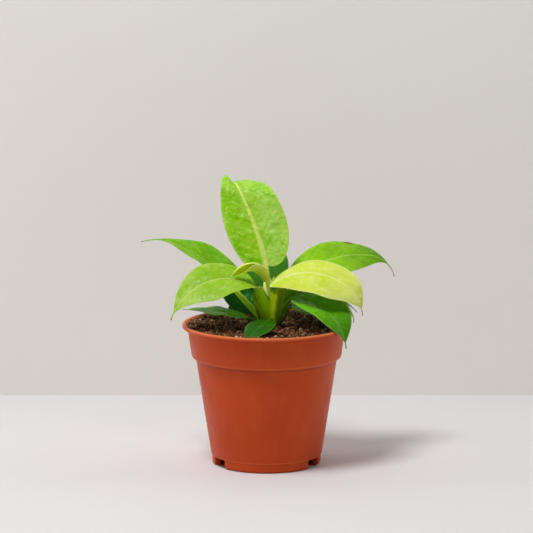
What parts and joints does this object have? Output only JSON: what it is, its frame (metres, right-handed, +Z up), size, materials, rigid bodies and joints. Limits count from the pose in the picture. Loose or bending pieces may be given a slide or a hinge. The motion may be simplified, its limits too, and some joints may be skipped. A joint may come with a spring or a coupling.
{
  "type": "potted moonlight philodendron",
  "caption": "Young bushy foliage plant in a round tapered plastic nursery pot with soil; lime to dark green pointed leaves on short stalks.",
  "frame": {"origin": "centre of the pot's foot on the floor, under the middle of the whole plant's width", "axes": "+Z up along the pot's axis, -Y towards the front of the plant, +X to its right seen from the front"},
  "size_m": [0.164, 0.108, 0.1803],
  "materials": {
    "pot": "moulded terracotta-coloured plastic, satin",
    "soil": "crumbly dark potting mix with lighter fibres",
    "stem": "smooth fleshy green stem",
    "leaf_lime": "waxy lime-yellow leaf with a pale midrib",
    "leaf_yellow": "soft pale yellow new leaf, still rolled",
    "leaf_bright": "waxy bright green leaf with a pale midrib",
    "leaf_mid": "waxy mid green leaf with fine side veins",
    "leaf_dark": "glossy dark green leaf",
    "leaf_deep": "glossy deep blue-green old leaf"
  },
  "bodies": {
    "root": {"nursery_pot": "pot", "potting_soil": "soil", "stem": "stem", "leaf_top": "leaf_bright", "leaf_left_high": "leaf_mid", "leaf_left_arching": "leaf_bright", "leaf_unfurling": "leaf_yellow", "leaf_right_bright": "leaf_lime", "leaf_right_high": "leaf_mid", "leaf_right_drooping": "leaf_dark", "leaf_right_low": "leaf_dark", "leaf_right_back": "leaf_deep", "leaf_back": "leaf_deep", "leaf_left_back": "leaf_deep", "leaf_left_low": "leaf_dark", "leaf_front_small": "leaf_dark"}
  },
  "joints": []
}
